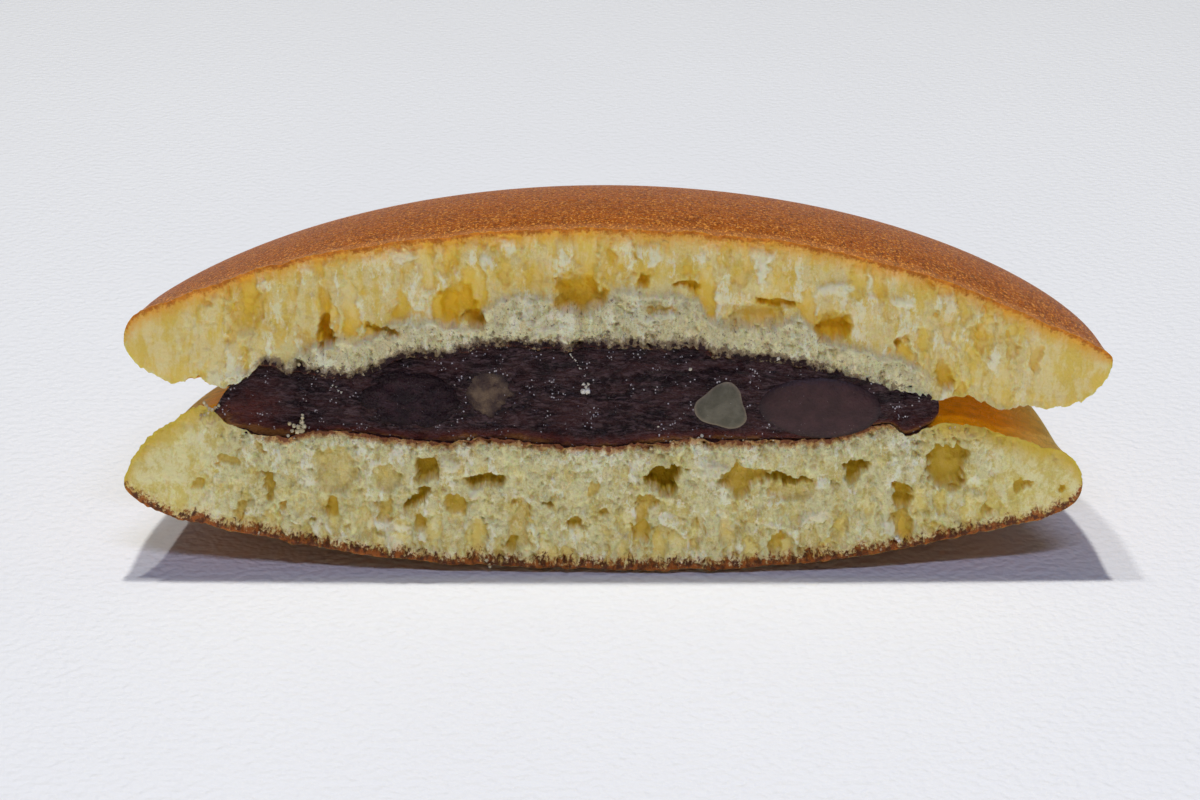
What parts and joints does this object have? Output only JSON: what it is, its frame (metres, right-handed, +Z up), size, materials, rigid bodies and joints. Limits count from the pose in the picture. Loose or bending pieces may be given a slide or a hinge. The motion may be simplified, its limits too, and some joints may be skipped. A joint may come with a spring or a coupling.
{
  "type": "dorayaki half",
  "caption": "Half of a filled pancake pastry, cut straight through: two domed griddled pancakes around sweet bean paste.",
  "frame": {"origin": "centre of the bounding box on the table surface", "axes": "+X along the cut face, +Y away from the cut face towards the round back, +Z up"},
  "size_m": [0.0904, 0.0494, 0.0331],
  "materials": {
    "upper_pancake": "satin griddled crust over open yellow crumb",
    "lower_pancake": "matt pale yellow open crumb with a thin brown crust underneath",
    "bean_paste": "moist, glossy, grainy",
    "whole_bean_skin": "smooth moist skin",
    "split_bean_pale": "matt mealy cut bean with a thin skin edge",
    "split_bean_brown": "moist, smeared with paste"
  },
  "bodies": {
    "root": {"upper_pancake": "upper_pancake", "lower_pancake": "lower_pancake", "bean_paste": "bean_paste", "whole_bean_left": "whole_bean_skin", "whole_bean_right": "whole_bean_skin", "split_bean_pale": "split_bean_pale", "split_bean_brown": "split_bean_brown"}
  },
  "joints": []
}
